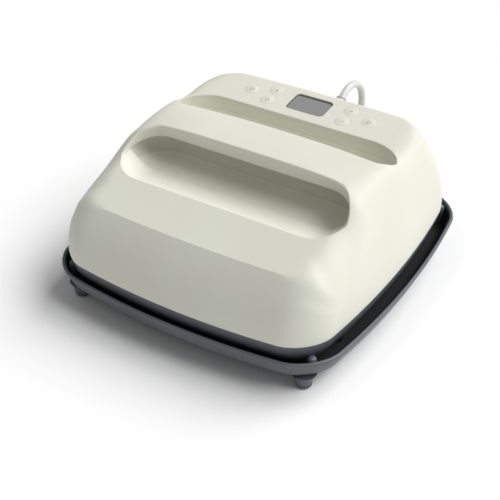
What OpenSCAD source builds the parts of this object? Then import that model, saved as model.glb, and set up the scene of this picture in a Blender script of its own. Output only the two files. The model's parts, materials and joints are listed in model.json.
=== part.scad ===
// Handheld heat press for iron-on vinyl, resting in its insulated safety base.
// Origin: centre of the base's outline on the surface it stands on. +Z up, the grip side faces -Y.

/* [Safety base] */
// Half of the base rim's width, left to right
rim_half_w = 153; // [151:0.5:156]
// Half of the base rim's depth, front to back
rim_half_d = 159.3; // [157.5:0.5:162]
// Height of the base rim above the table
rim_top = 36; // [35:0.5:37]
// How far the corners of the rim are pulled in
tray_bow = 13.6; // [12:0.2:15]

/* [Housing] */
// Half of the housing's width at its lower edge
body_half_w = 142.2; // [141.5:0.1:143]
// Half of the housing's depth at its lower edge
body_half_d = 148.7; // [148:0.1:149.5]
// How far the housing's centre lies behind the base's centre (minus: in front)
body_y = -5.4; // [-6:0.1:-5]
// Height of the housing's lower edge
body_foot = 48.8; // [48.6:0.1:49.2]
// Wall of the moulded housing
wall = 2.5; // [2.2:0.1:2.8]

/* [Grip] */
// Half length of the front finger opening
mouth_half_l = 111.9; // [109:0.1:112.5]
// Half width of the front finger opening
mouth_half_w = 28.5; // [27:0.1:29]

/* [Heating] */
// Side of the square heat plate (9 inch)
plate_side = 228.6; // [226:0.1:230]
// Thickness of the heat plate
plate_t = 8; // [7:0.5:8]

/* [Controls] */
// Diameter of each round key
key_d = 15; // [13:0.5:16]
/* [Power cord] */
// Diameter of the cord
cord_d = 7.4; // [7.2:0.1:7.4]

/* [Hidden] */
// Driving angles and heights of the top: the sloped front strip, the crowned handle and the rear panel
strip_tilt = 18;
panel_tilt = 5.7;
strip_y = -54.9;
strip_z = 121.5;
panel_y = 72.3;
panel_z = 133;
handle_front = [-32.7, 142.5];
handle_rear = [22.3, 137.8];
slot_rear_y = 57.7;
skin_gap = 0.1;
body_clear = 0.3;
plate_bottom = 22;
plate_top = plate_bottom + plate_t;
shield_z = 43.2;
shield_t = 1;
board_z = 58;
board_t = 1.6;
boss_at = [[130, -58], [130, 50], [86, -128], [86, 129]];
plate_screw_at = [for (x = [-102, 102], y = [-96, 0, 96]) [x, y]];
sensor_at = [20, 25];
key_pos = [[-63.5, 10.4], [-40.3, 19.4], [-40.5, 0.9], [40.3, 19.4], [40.5, 0.9], [63.5, 10.4]];
display_pos = [0, 11];
display_size = [38.7, 25.9];
panel_board_depth = 8;

// The cord leaves the rear wall upwards, arches over and drops straight to the table
cord_exit = [0, 130.6, 95.4];
cord_rise = 35;
relief_len = 26;
arch_r = 30;
arch_centre = [169.5, 86];
cord_route = concat(
    [for (a = [125:-12.5:0]) [0, arch_centre.x + arch_r * cos(a), arch_centre.y + arch_r * sin(a)]],
    [[0, 199.5, 72], [0, 199.5, 58], [-0.5, 200, 45.5], [-2.5, 202.5, 33.5], [-6, 206.5, 23]],
    [[-11.5, 212.5, 14], [-18.5, 219.5, 7.5], [-26.5, 227, 4.5], [-35.5, 235, 4]]);
tail_route = [
    [-121, 188.5, 17.3], [-126.5, 182, 15.3], [-133.5, 177, 13.2], [-141.5, 174.2, 11.7],
    [-149.5, 174, 11.5]];
coil_centre = [-75, 206];
coil_mid_r = 37;
coil_lift = 1;
plug_at = [-150, 174, 11.5];

// ---------- outlines ----------

function mix(a, b, t) = a + (b - a) * t;
function smooth(t) = let(c = min(1, max(0, t))) c * c * (3 - 2 * c);

// Corner centres of a rounded square, anticlockwise from the rear right
function corner(q, ax, back, front, r) =
    [(q == 0 || q == 3 ? 1 : -1) * (ax - r), q < 2 ? back - r : r - front];

function corner_point(q, ax, back, front, r, turn) =
    corner(q, ax, back, front, r) + r * [cos(90 * (q + turn)), sin(90 * (q + turn))];

function round_square(ax, back, front, r, arc = 6, side = 5) = [
    for (q = [0:3]) each concat(
        [for (i = [0:arc]) corner_point(q, ax, back, front, r, i / arc)],
        [for (i = [1:side - 1]) mix(corner_point(q, ax, back, front, r, 1),
            corner_point((q + 1) % 4, ax, back, front, r, 0), i / side)])];

// Sides that swell between corners that are pulled in by bow
function swollen(p, ax, ay, bow) =
    [p.x * (1 - bow * pow(p.y / ay, 2) / ax), p.y * (1 - bow * pow(p.x / ax, 2) / ay)];

function outline(ax, back, front, r, bow_back, bow_front) = [
    for (p = round_square(ax, back, front, r))
        p.y > 0 ? swollen(p, ax, back, bow_back) : swollen(p, ax, front, bow_front)];

function ring(ax, ay, r, bow, y, z) = [for (p = outline(ax, ay, ay, r, bow, bow)) [p.x, p.y + y, z]];

// The housing's walls lean in faster and faster, most at the front, least at the sides
function lean(rate, h) = rate * pow(max(0, h), 1.67);
function body_ring(h, inset) =
    let(ax = body_half_w - lean(0.0140, h) - inset,
        back = body_half_d - lean(0.0205, h) - inset,
        front = body_half_d - lean(0.0440, min(h, 62)) - inset,
        bow_back = max(3, 11.5 - 0.10 * h),
        bow_front = max(3, 11.5 - 0.17 * h))
    [for (p = outline(ax, back, front, 33 - inset, bow_back, bow_front)) [p.x, p.y + body_y, body_foot + h]];

// A closed solid through stacked rings of points
module loft(rings) {
    n = len(rings[0]);
    m = len(rings);
    sides = [for (k = [0:m - 2], i = [0:n - 1]) let(j = (i + 1) % n)
        each [[k * n + i, (k + 1) * n + i, (k + 1) * n + j], [k * n + i, (k + 1) * n + j, k * n + j]]];
    lid = [for (i = [0:n - 1]) (m - 1) * n + n - 1 - i];
    polyhedron([for (r = rings) each r], concat([[for (i = [0:n - 1]) i]], sides, [lid]), convexity = 4);
}

// A round tube swept along a route
function along(route, i) =
    let(a = route[max(0, i - 1)], b = route[min(len(route) - 1, i + 1)]) (b - a) / norm(b - a);
module tube(route, d, sides = 10, side_on = [1, 0, 0]) {
    rings = [for (i = [0:len(route) - 1])
        let(t = along(route, i), s = cross(t, side_on),
            u = s / norm(s), v = cross(t, u))
        [for (k = [0:sides - 1]) route[i] + d / 2 * (u * cos(360 * k / sides) - v * sin(360 * k / sides))]];
    loft(rings);
}

// Curved shells whose walls are not fits are evaluated as one mesh
module as_shell() { resize([0, 0, 0]) children(); }

// ---------- plain building blocks ----------

module slab(w, d, t, r) {
    linear_extrude(t) {
        square([w - 2 * r, d], center = true);
        square([w, d - 2 * r], center = true);
        for (x = [-1, 1], y = [-1, 1]) translate([x * (w / 2 - r), y * (d / 2 - r)]) circle(r, $fn = 32);
    }
}
module rod(d, h) { cylinder(d = d, h = h, $fn = 32); }
module on_panel(x, y, depth = 0) {
    translate([0, panel_y, panel_z]) rotate([panel_tilt, 0, 0]) translate([x, y, -depth]) children();
}
module on_strip(depth = 0) {
    translate([0, strip_y, strip_z]) rotate([strip_tilt, 0, 0]) translate([0, 0, -depth]) children();
}
module mirrored() { children(); mirror([1, 0, 0]) children(); }

// ---------- the housing's top ----------

function strip_height(y) = strip_z + (y - strip_y) * tan(strip_tilt);
function crown_height(x, y) =
    let(t = (y - handle_front[0]) / (handle_rear[0] - handle_front[0]), c = min(1, max(0, t)))
    mix(handle_front[1], handle_rear[1], t) + 1.6 * (1 - pow(2 * c - 1, 2))
        - mix(5 * pow(x / 100, 4), pow(x / 100, 2), c);
function panel_height(y) = panel_z + (y - panel_y) * tan(panel_tilt);
function shoulder(x) = pow(max(0, abs(x) - 108), 2) / 30;
function top_height(x, y) =
    mix(mix(strip_height(y), crown_height(x, y), smooth((y + 62) / 29)), panel_height(y),
        smooth((y - 20) / 37)) - shoulder(x);

top_x = [-150, -136, -128, -122, -116, -110, -96, -70, -35, 0, 35, 70, 96, 110, 116, 122, 128, 136, 150];
top_y = [-165, -62, -55, -48, -41, -34, -25, -10, 5, 20, 28, 36, 44, 52, 58, 160];

module under_top(drop) {
    base = 40;
    nx = len(top_x);
    ny = len(top_y);
    upper = [for (y = top_y, x = top_x) [x, y, top_height(x, y) - drop]];
    lower = [for (y = top_y, x = top_x) [x, y, base]];
    n = nx * ny;
    cells = [for (j = [0:ny - 2], i = [0:nx - 2]) j * nx + i];
    rim = concat([for (i = [0:nx - 2]) i], [for (j = [0:ny - 2]) j * nx + nx - 1],
        [for (i = [nx - 1:-1:1]) (ny - 1) * nx + i], [for (j = [ny - 1:-1:1]) j * nx]);
    polyhedron(concat(upper, lower), concat(
        [for (c = cells) each [[c, c + nx, c + nx + 1], [c, c + nx + 1, c + 1]]],
        [for (c = cells) each [[n + c, n + c + nx + 1, n + c + nx], [n + c, n + c + 1, n + c + nx + 1]]],
        [for (i = [0:len(rim) - 1]) let(a = rim[i], b = rim[(i + 1) % len(rim)])
            each [[a, b, n + b], [a, n + b, n + a]]]), convexity = 6);
}

module body_solid(inset) {
    top = 100;
    intersection() {
        loft([for (h = [inset > 0 ? -1 : 0, 8, 18, 29, 40, 50, 62, 74, 86, top]) body_ring(h, inset)]);
        under_top(inset > 0 ? inset * 1.08 : 0);
    }
}

// ---------- the two hand openings ----------

// The front finger opening is a stadium square to the sloped strip
module mouth(grow, depth, height) {
    on_strip(depth) linear_extrude(depth + height) {
        square([2 * (mouth_half_l - mouth_half_w), 2 * (mouth_half_w + grow)], center = true);
        for (x = [-1, 1]) translate([x * (mouth_half_l - mouth_half_w), 0])
            circle(mouth_half_w + grow, $fn = 64);
    }
}

// The rear slot follows the handle's back edge and rounds forward at its ends
function slot_half() = concat(
    [for (a = [0:11:55]) [79 + 41 * sin(a), slot_rear_y - 41 + 41 * cos(a)]],
    [for (a = [20:-22:-90]) [100 + 14.5 * cos(a), 32 + 14.5 * sin(a)]],
    [for (x = [80:-20:0]) [x, handle_rear[0] - 4.75 * pow(x / 100, 2)]]);
module slot_shape(grow) {
    half = slot_half();
    offset(r = grow, $fn = 24)
        polygon(concat(half, [for (i = [len(half) - 2:-1:0]) [-half[i].x, half[i].y]]));
}
module slot(grow, low, high) {
    translate([0, 0, low]) linear_extrude(high - low) slot_shape(grow);
}

// The hollow that the fingers reach into: a gently dished floor and a back wall that runs under the grip
scoop_floor = [[-82.2, 112.6], [-75, 108.2], [-62, 103.8], [-45, 101.2], [-25, 101.6], [-8, 105]];
scoop_back = [[-10.5, 113], [-17, 122], [-27.7, 130.3]];
module scoop_hollow(grow) {
    profile = concat(scoop_floor, scoop_back, [[-55, 150], [-100, 150], [-100, 114]]);
    intersection() {
        rotate([90, 0, 90]) linear_extrude(240, center = true) offset(r = grow, $fn = 16) polygon(profile);
        translate([0, 0, 90]) linear_extrude(60) {
            square([2 * (mouth_half_l - mouth_half_w), 200], center = true);
            for (x = [-1, 1]) translate([x * (mouth_half_l - mouth_half_w), strip_y + 2]) {
                circle(mouth_half_w + grow - 0.5, $fn = 48);
                translate([-20, 0]) square([mouth_half_w + 20 + grow - 2, 46]);
            }
        }
    }
}

// ---------- safety base ----------

module tray_form(stages, inset = 0) {
    loft([for (s = stages)
        ring(rim_half_w - s[0] - inset, rim_half_d - s[0] - inset, s[2], tray_bow, 0, s[1])]);
}
module tray_hollow(inset = 0) {
    tray_form(
        [[17, 16.5, 24], [10.5, 18.5, 27], [6.5, 26, 30], [4.4, 31, 31], [2.6, rim_top + 1, 32]], inset);
}
module base_tray() {
    color("#5c5f66") as_shell() {
        difference() {
            tray_form([
                [17, 13.5, 24], [11, 14.5, 27], [6, 18, 30], [2.8, 26, 33], [1.8, 31.5, 34], [0, 33, 35.5],
                [0.8, rim_top, 35]]);
            tray_hollow();
        }
        for (x = [-1, 1], y = [-1, 1]) translate([x * 118, y * 129, 3.5])
            cylinder(d1 = 14.6, d2 = 19, h = 13, $fn = 32);
    }
}

module foot_pads() {
    color("#4b4d52") for (x = [-1, 1], y = [-1, 1]) translate([x * 118, y * 129, 0]) rotate_extrude($fn = 48)
        difference() {
            union() {
                square([4.5, 3.5]);
                translate([0, 0.4]) square([6.4, 3.1]);
                translate([4, 3.3]) circle(3.3, $fn = 32);
            }
            translate([-1, 3.5]) square([20, 10]);
            translate([-10, -1]) square([10, 20]);
        }
}

module corner_guides() {
    floor_z = 18.7;
    color("#74767c") as_shell() intersection() {
        tray_hollow(skin_gap);
        for (p = [[125.4, -129.9], [124.3, 133]], side = [-1, 1]) translate([side * p.x, p.y, floor_z]) {
            cylinder(r1 = 4.4, r2 = 3.8, h = 13, $fn = 32);
            translate([0, 0, 13]) sphere(r = 3.8, $fn = 32);
        }
    }
}

module base_liner() {
    color("#3d3f43") translate([0, body_y, 16.7]) slab(236, 240, 2, 20);
}

module rest_pads() {
    color("#2f3033") for (x = [-1, 1], y = [-1, 1])
        translate([x * 124.5, body_y + y * 62, 18.8]) slab(8, 30, 26 - body_clear - 18.8, 3.9);
}

// ---------- housing ----------

module upper_housing() {
    color("#deded1") as_shell() difference() {
        union() {
            difference() {
                body_solid(0);
                body_solid(wall);
                translate([0, 0, body_foot - 5]) linear_extrude(5 + 1e-3) square(400, center = true);
            }
            intersection() {
                body_solid(0);
                union() {
                    mouth(wall, 3, 40);
                    slot(wall, 118, 160);
                }
            }
            intersection() {
                body_solid(1);
                for (p = boss_at) mirrored() translate([p.x, body_y + p.y, body_foot])
                    cylinder(r = 5, h = 60, $fn = 24);
            }
        }
        for (p = boss_at) mirrored() translate([p.x, body_y + p.y, body_foot - 1])
            cylinder(r = 1.7, h = 14, $fn = 16);
        mouth(0, 4, 41);
        slot(0, 100, 161);
        for (k = key_pos) on_panel(k.x, k.y, 6) cylinder(d = key_d + 2 * body_clear + 0.2, h = 12, $fn = 48);
        on_panel(display_pos.x, display_pos.y, 6) slab(display_size.x, display_size.y, 12, 3);
        cord_axis(-8) cylinder(d = 16.2, h = 30, $fn = 32);
    }
}

// Both inserts hang under the housing's skin, split along the foot of the grip
module below_skin() {
    difference() {
        children();
        on_strip(3.2) translate([-200, -100, 0]) cube([400, 200, 60]);
    }
}
module insert_shell() {
    difference() {
        scoop_hollow(2);
        scoop_hollow(0);
        mouth(0, 4, 60);
    }
}
module split(gap) {
    translate([-200, -28.7 + gap, 108 + gap]) cube([400, 60, 60]);
    translate([-200, -8 + gap, 90]) cube([400, 60, 60]);
}

module front_scoop() {
    color("#b3b3a8") as_shell() below_skin() difference() {
        insert_shell();
        split(0);
    }
}

module grip_insert() {
    color("#8f8f84") as_shell() below_skin() intersection() {
        insert_shell();
        split(skin_gap);
    }
}

module rear_well() {
    floor_z = 106;
    color("#a5a599") difference() {
        slot(2, floor_z - 2, 117.8);
        slot(0, floor_z, 130);
    }
}

module lower_skirt() {
    bottom = 26;
    top = body_foot - 0.3;
    color("#5a6068") as_shell() difference() {
        loft([for (s = [[13, bottom, 22], [8, 28, 26], [5, 34, 29], [3.4, 42, 31], [2.6, top, 32]])
            ring(body_half_w - s[0], body_half_d - s[0], s[2], 11.5, body_y, s[1])]);
        loft([for (s = [
                [15, bottom + 2.4, 20], [10.4, 30, 24], [7.4, 34, 27], [5.9, 42, 29], [5.4, top - 2.4, 30]])
            ring(body_half_w - s[0], body_half_d - s[0], s[2], 11.5, body_y, s[1])]);
        translate([0, body_y, bottom - 1]) slab(236, 236, 5, 20);
        translate([0, body_y, top - 4]) slab(192, 196, 6, 12);
        for (p = boss_at) mirrored()
            translate([p.x, body_y + p.y, top - 4]) rod(4.2, 6);
        for (p = plate_screw_at) translate([p.x, body_y + p.y, top - 4]) rod(4.2, 6);
    }
}

// ---------- heating ----------

module heat_plate() {
    color("#2c2c2e") translate([0, body_y, plate_bottom]) difference() {
        slab(plate_side, plate_side, plate_t, 16);
        for (p = plate_screw_at) translate([p.x, p.y, plate_t - 6]) rod(3.3, 7);
    }
}

// One tubular element bent back and forth over the plate, ends turned up at the rear
module heating_element() {
    d = 7;
    pitch = 40;
    half = 75;
    z = plate_top + d / 2 + skin_gap;
    runs = [-2, -1, 0, 1, 2];
    color("#8c8a86") translate([0, body_y, z]) {
        for (i = runs) translate([i * pitch, 0, 0]) rotate([90, 0, 0])
            cylinder(d = d, h = 2 * half, center = true, $fn = 32);
        for (i = [0:3]) translate([(i - 1.5) * pitch, (i % 2 == 0 ? -1 : 1) * half, 0])
            rotate([0, 0, i % 2 == 0 ? 180 : 0]) rotate_extrude(angle = 180, $fn = 48)
                translate([pitch / 2, 0]) circle(d = d, $fn = 32);
        for (s = [[-2, half], [2, -half]]) translate([s[0] * pitch, s[1], 0]) {
            sphere(d = d, $fn = 32);
            cylinder(d = d, h = 18, $fn = 32);
            cylinder(d = 3, h = 24, $fn = 24);
        }
    }
}

module insulation_blanket() {
    z = plate_top + 7.4;
    color("#e8e4da") translate([0, body_y, z]) difference() {
        slab(222, 222, shield_z - z - skin_gap, 12);
        for (p = plate_screw_at) translate([p.x, p.y, -1]) rod(11, 12);
        for (s = [[-80, 75], [80, -75]]) translate([s[0], s[1], -1]) rod(9, 12);
        translate([sensor_at.x, sensor_at.y, -1]) rod(22, 12);
    }
}

module heat_shield() {
    color("#b9bbbe") translate([0, body_y, shield_z]) difference() {
        slab(216, 216, shield_t, 10);
        for (p = plate_screw_at) translate([p.x, p.y, -1]) rod(4.2, 4);
        for (s = [[-80, 75], [80, -75]]) translate([s[0], s[1], -1]) rod(10, 4);
        translate([sensor_at.x, sensor_at.y, -1]) rod(10, 4);
        for (x = [-25, 75], y = [22, 82]) translate([x, y, -1]) rod(3.2, 4);
    }
}

module plate_standoffs() {
    h = shield_z - plate_top - 2 * skin_gap;
    color("#d9cfae") for (p = plate_screw_at)
        translate([p.x, body_y + p.y, plate_top + skin_gap]) difference() {
            rod(10, h);
            translate([0, 0, -1]) rod(4.2, h + 2);
        }
}

module thermal_cutoff() {
    z = shield_z + shield_t + skin_gap;
    color("#caa45a") translate([-40, body_y - 60, z]) {
        slab(26, 10, 1, 2);
        translate([0, 0, 1]) rod(16, 7);
        for (x = [-4, 4]) translate([x, 0, 7]) rod(2, 8);
    }
}

module temperature_sensor() {
    color("#d8d4c8") translate([sensor_at.x, body_y + sensor_at.y, plate_top + skin_gap]) {
        slab(18, 9, 1.2, 2);
        translate([0, 0, 1.2]) rod(6, 8);
    }
}

module sensor_wires() {
    start = [sensor_at.x, body_y + sensor_at.y, plate_top + 9.6];
    bends = [[0, 0], [0, 8], [3, 13], [8, 16], [14, 17.2]];
    color("#c8c8c8") for (x = [-1.2, 1.2]) tube([for (b = bends) start + [x, b.x, b.y]], 1.6, 8);
}

// ---------- display and keys ----------

module display_window() {
    t = 1;
    color("#8f8f90") on_panel(display_pos.x, display_pos.y, 2.8 + t)
        slab(display_size.x + 4.6, display_size.y + 4.6, t - skin_gap, 4);
}
module display_seal() {
    color("#303030") on_panel(display_pos.x, display_pos.y, 4.9) difference() {
        slab(display_size.x + 4.6, display_size.y + 4.6, 1, 4);
        translate([0, 0, -1]) slab(display_size.x + 1, display_size.y + 1, 3, 3);
    }
}
module display_module() {
    color("#4c5350") on_panel(display_pos.x, display_pos.y, panel_board_depth - skin_gap)
        slab(display_size.x + 4, display_size.y + 2, 2.9, 1);
}

module key(i) {
    color("#deded1") on_panel(key_pos[i].x, key_pos[i].y, 0) {
        translate([0, 0, -2.4]) rod(key_d, 2.4 + 0.25);
        translate([0, 0, -2.4 - 1.5]) rod(5, 1.6);
    }
}
module power_key() { key(0); }
module temperature_key() { key(1); }
module timer_key() { key(2); }
module plus_key() { key(3); }
module minus_key() { key(4); }
module start_key() { key(5); }

module key_switches() {
    color("#2b2b2b") for (k = key_pos) on_panel(k.x, k.y, panel_board_depth - skin_gap) {
        slab(6, 6, 2.6, 0.5);
        translate([0, 0, 2.6]) rod(3.4, 0.7);
    }
}

module control_board() {
    color("#2f5a3c") on_panel(0, 10, panel_board_depth + board_t) difference() {
        slab(148, 34, board_t, 2);
        for (x = [-70, 70]) translate([x, 13, -1]) rod(3.2, 4);
    }
}
module control_chips() {
    color("#1e1e20") on_panel(0, 10, panel_board_depth + board_t + 1.7) {
        translate([-15, -2, 0]) slab(12, 12, 1.6, 0.5);
        translate([12, 3, 0]) slab(8, 6, 1.6, 0.5);
        for (x = [30, 36, 42]) translate([x, -6, 0]) slab(3, 2, 1.6, 0.2);
    }
}
module beeper() {
    color("#1a1a1a") on_panel(-52, 6, panel_board_depth + board_t + 7.6) difference() {
        rod(12, 7.5);
        translate([0, 0, -1]) rod(2, 3);
    }
}

// ---------- power electronics on the shield ----------

board_x = 25;
board_y = body_y + 52;
module board_spacers() {
    z = shield_z + shield_t + skin_gap;
    color("#e5e2d6") for (x = [-25, 75], y = [22, 82]) translate([x, body_y + y, z]) difference() {
        rod(6.5, board_z - z - skin_gap);
        translate([0, 0, -1]) rod(2.7, 20);
    }
}
module power_board() {
    color("#2f5a3c") translate([board_x, board_y, board_z]) difference() {
        slab(112, 70, board_t, 2);
        for (x = [-50, 50], y = [-30, 30]) translate([x, y, -1]) rod(3.2, 4);
    }
}
module on_board(x, y) { translate([board_x + x, board_y + y, board_z + board_t + skin_gap]) children(); }
module relay() { color("#2a55a0") on_board(-38, -12) slab(19, 15.5, 15, 1); }
module triac_heatsink() {
    color("#9a9ca0") on_board(36, -14) {
        slab(28, 4, 24, 0.5);
        for (x = [-12:4:12]) translate([x, 6, 12]) cube([1.4, 8.4, 24], center = true);
    }
}
module transformer() {
    color("#c7a23c") on_board(-8, -8) {
        slab(24, 20, 5, 1);
        translate([0, 0, 5]) slab(20, 16, 14, 2);
    }
}
module capacitors() {
    color("#23262b") {
        on_board(14, -20) rod(10, 18);
        on_board(14, -6) rod(8, 12);
        on_board(-24, 14) slab(18, 7, 13, 0.5);
    }
}
module fuse() {
    color("#d9dde0") on_board(0, 24) {
        for (x = [-9, 9]) translate([x, 0, 0]) slab(2, 6, 4, 0.3);
        translate([-10, 0, 6.4]) rotate([0, 90, 0]) rod(5.2, 20);
    }
}
module terminal_block() {
    color("#3f7f4f") on_board(30.5, 24) difference() {
        slab(30, 11, 12, 0.5);
        for (x = [-10, 0, 10]) translate([x, 0, 8]) rod(4, 5);
    }
}

module heater_leads() {
    z = plate_top + 3.6 + 24.2;
    color("#b8402a") {
        tube([
            [-80, body_y + 75, z], [-80, body_y + 75, z + 5], [-74, body_y + 72, z + 10],
            [-60, body_y + 66, z + 11],
            [-40, body_y + 60, z + 9], [-32.5, body_y + 60, z + 4.4]], 3, 8, [0, 1, 0]);
        tube([
            [80, body_y - 75, z], [80, body_y - 75, z + 5], [84, body_y - 62, z + 10],
            [88, body_y - 20, z + 10],
            [88, body_y + 30, z + 9], [84, body_y + 60, z + 7], [76.5, body_y + 75, z + 7]], 3, 8);
    }
}

module ribbon_cable() {
    path = [[62, 62], [80, 62.6], [90, 68], [93.5, 80], [92, 100], [88.5, 118.5], [87.6, 122.4]];
    color("#bfc3c7") translate([-28, 0, 0]) rotate([90, 0, 90]) linear_extrude(16)
        polygon(concat(path, [for (i = [len(path) - 1:-1:0]) path[i] + [0.9, -0.35]]));
}

module earth_wire() {
    color("#4f9a3f")
        tube([[60, 94, 62], [64, 96, 72], [50, 104, 78], [26, 112, 82], [8, 116, 84.5]], 2.4, 8, [0, 1, 0]);
}

// ---------- fasteners ----------

module pan_screw(d, h, head_d, head_h) {
    difference() {
        union() {
            rod(head_d, head_h);
            translate([0, 0, head_h]) rod(d, h);
        }
        translate([0, 0, -0.5]) cylinder(d = head_d * 0.5, h = head_h * 0.5 + 0.5, $fn = 6);
    }
}
module housing_screws() {
    z = body_foot - 0.3 - 2.4 - 2.6;
    color("#8d8f92") for (p = boss_at) mirrored()
        translate([p.x, body_y + p.y, z - skin_gap]) pan_screw(3, 13, 6.4, 2.4);
}
module plate_screws() {
    color("#8d8f92") for (p = plate_screw_at)
        translate([p.x, body_y + p.y, body_foot - 0.3 + 2.6]) mirror([0, 0, 1]) pan_screw(3.1, 22, 7, 2.5);
}
module board_screws() {
    color("#8d8f92") {
        for (x = [-50, 50], y = [-30, 30]) translate([board_x + x, board_y + y, board_z + board_t + 2.1])
            mirror([0, 0, 1]) pan_screw(2.6, 8, 5.4, 2);
        for (x = [-70, 70]) on_panel(x, 23, panel_board_depth + board_t + 2.1) pan_screw(2.6, 6, 5.4, 2);
    }
}

// ---------- power cord ----------

module cord_axis(start) {
    translate(cord_exit) rotate([cord_rise - 90, 0, 0]) translate([0, 0, start]) children();
}
module strain_relief() {
    bore = cord_d / 2 + 0.05;
    color("#e4e4e2") cord_axis(0) rotate_extrude($fn = 48) difference() {
        polygon([[bore, -8], [9.6, -8], [9.6, -6], [8, -6], [8, 4.4], [9.4, 4.4], [9.4, 6], [7.6, 6.4],
            [5.4, relief_len], [bore, relief_len]]);
        for (z = [9:3.6:23]) translate([6.4 - 0.06 * (z - 9), z]) square([3, 1.6]);
    }
}
module cord_clamp() {
    color("#3a3c40") cord_axis(-16) difference() {
        translate([-12, -7, 0]) cube([24, 14, 7.9]);
        translate([0, 0, -1]) rod(cord_d + 0.2, 10);
    }
}
module power_cord() { color("#f2f2f0") tube(cord_route, cord_d); }
module cord_tail() { color("#f2f2f0") tube(tail_route, cord_d, side_on = [0, 0, 1]); }
module cord_coil() {
    half = cord_d;
    color("#f2f2f0") translate([coil_centre.x, coil_centre.y, coil_lift]) rotate_extrude($fn = 64)
        translate([coil_mid_r - half, 0]) {
            translate([2, 0]) square([2 * half - 4, 3 * cord_d]);
            translate([0, 2]) square([2 * half, 3 * cord_d - 4]);
            for (x = [2, 2 * half - 2], z = [2, 3 * cord_d - 2]) translate([x, z]) circle(2, $fn = 24);
        }
}
module cord_tie() {
    t = 0.8;
    w = 2 * cord_d + 0.6;
    h = 3 * cord_d + 0.2;
    color("#2b2c2e")
        translate([coil_centre.x + coil_mid_r, coil_centre.y - 3, coil_lift - 0.1]) rotate([-90, 0, 0])
        mirror([0, 1, 0]) linear_extrude(6) translate([-w / 2, 0]) difference() {
            translate([-t, -t]) square([w + 2 * t, h + 2 * t]);
            square([w, h]);
        }
}
module on_plug() { translate(plug_at) rotate([0, -90, 0]) children(); }
module plug_body() {
    color("#f2f2f0") on_plug() {
        hull() {
            cylinder(d = 10, h = 1, $fn = 32);
            translate([0, 0, 14]) cylinder(d = 17, h = 1, $fn = 32);
        }
        translate([0, 0, 15]) slab(23, 27, 21, 7);
    }
}
module plug_pins() {
    color("#c9b063") on_plug() translate([0, 0, 36.1]) {
        for (y = [-6.35, 6.35]) translate([-3, y - 0.75, 0]) cube([6.3, 1.5, 17.5]);
        translate([-7.5, 0, 0]) rod(4.8, 20);
    }
}

base_tray();
foot_pads();
corner_guides();
base_liner();
rest_pads();
upper_housing();
front_scoop();
grip_insert();
rear_well();
lower_skirt();
heat_plate();
heating_element();
insulation_blanket();
heat_shield();
plate_standoffs();
thermal_cutoff();
temperature_sensor();
sensor_wires();
display_window();
display_module();
display_seal();
control_board();
control_chips();
beeper();
key_switches();
power_key();
temperature_key();
timer_key();
plus_key();
minus_key();
start_key();
power_board();
board_spacers();
relay();
triac_heatsink();
transformer();
capacitors();
fuse();
terminal_block();
heater_leads();
ribbon_cable();
earth_wire();
housing_screws();
plate_screws();
board_screws();
strain_relief();
cord_clamp();
power_cord();
cord_coil();
cord_tail();
cord_tie();
plug_body();
plug_pins();
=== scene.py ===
import json
from math import cos, pi, radians, sin, tan

import bmesh
import bpy
from mathutils import Matrix, Vector


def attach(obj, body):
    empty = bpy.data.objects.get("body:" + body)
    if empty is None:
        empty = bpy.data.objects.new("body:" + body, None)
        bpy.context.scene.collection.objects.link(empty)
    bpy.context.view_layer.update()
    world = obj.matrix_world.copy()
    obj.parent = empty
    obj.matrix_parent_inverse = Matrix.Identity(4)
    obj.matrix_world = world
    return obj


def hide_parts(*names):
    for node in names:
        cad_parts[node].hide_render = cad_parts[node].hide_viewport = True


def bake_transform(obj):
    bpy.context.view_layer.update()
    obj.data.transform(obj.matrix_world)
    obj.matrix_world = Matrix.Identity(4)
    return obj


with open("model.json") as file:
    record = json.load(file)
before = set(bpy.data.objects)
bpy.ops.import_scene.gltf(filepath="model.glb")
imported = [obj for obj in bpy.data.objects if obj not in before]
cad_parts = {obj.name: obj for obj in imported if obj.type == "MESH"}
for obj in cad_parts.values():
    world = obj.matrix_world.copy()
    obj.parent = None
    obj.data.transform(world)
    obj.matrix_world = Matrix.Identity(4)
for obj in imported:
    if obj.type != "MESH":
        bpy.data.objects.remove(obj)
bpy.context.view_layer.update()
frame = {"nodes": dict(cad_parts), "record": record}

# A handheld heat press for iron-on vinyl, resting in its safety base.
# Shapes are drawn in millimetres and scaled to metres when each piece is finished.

# ---------- Camera ----------
# A full-frame camera on a tripod, to the right of the press and well above it. Its longish lens
# keeps upright edges nearly parallel.

camera_azimuth = radians(31.758)
camera_elevation = radians(36.005)
camera_distance = 1.1
camera_lens = 77.15
sensor_width = 36
camera_target = Vector((-0.0400, 0.0407, -0.0254))

away = Vector((
    sin(camera_azimuth) * cos(camera_elevation),
    -cos(camera_azimuth) * cos(camera_elevation),
    sin(camera_elevation)))
camera = bpy.data.objects.new("camera", bpy.data.cameras.new("camera"))
camera.data.sensor_width = sensor_width
camera.data.lens = camera_lens
camera.location = camera_target + away * camera_distance
camera.rotation_euler = away.to_track_quat("Z", "Y").to_euler()
scene = bpy.context.scene
scene.collection.objects.link(camera)
scene.camera = camera
scene.view_settings.view_transform = "Standard"

# ---------- Light ----------
# Two very large softboxes, one to the right of the press and one behind it. The white walls of the
# studio fill the shadows.

wall_glow = 0.275
softbox_spread = radians(34)
softboxes = (("side_softbox", (0.6, 0.15, 0.75), 1.64), ("rear_softbox", (0.3, 0.6, 0.75), 1.68))


def linear(code):
    """An sRGB colour such as "dedfd2", as linear red, green, blue and alpha."""
    parts = [byte / 255 for byte in bytes.fromhex(code)]
    return [c / 12.92 if c <= 0.04045 else ((c + 0.055) / 1.055) ** 2.4 for c in parts] + [1.0]


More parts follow.
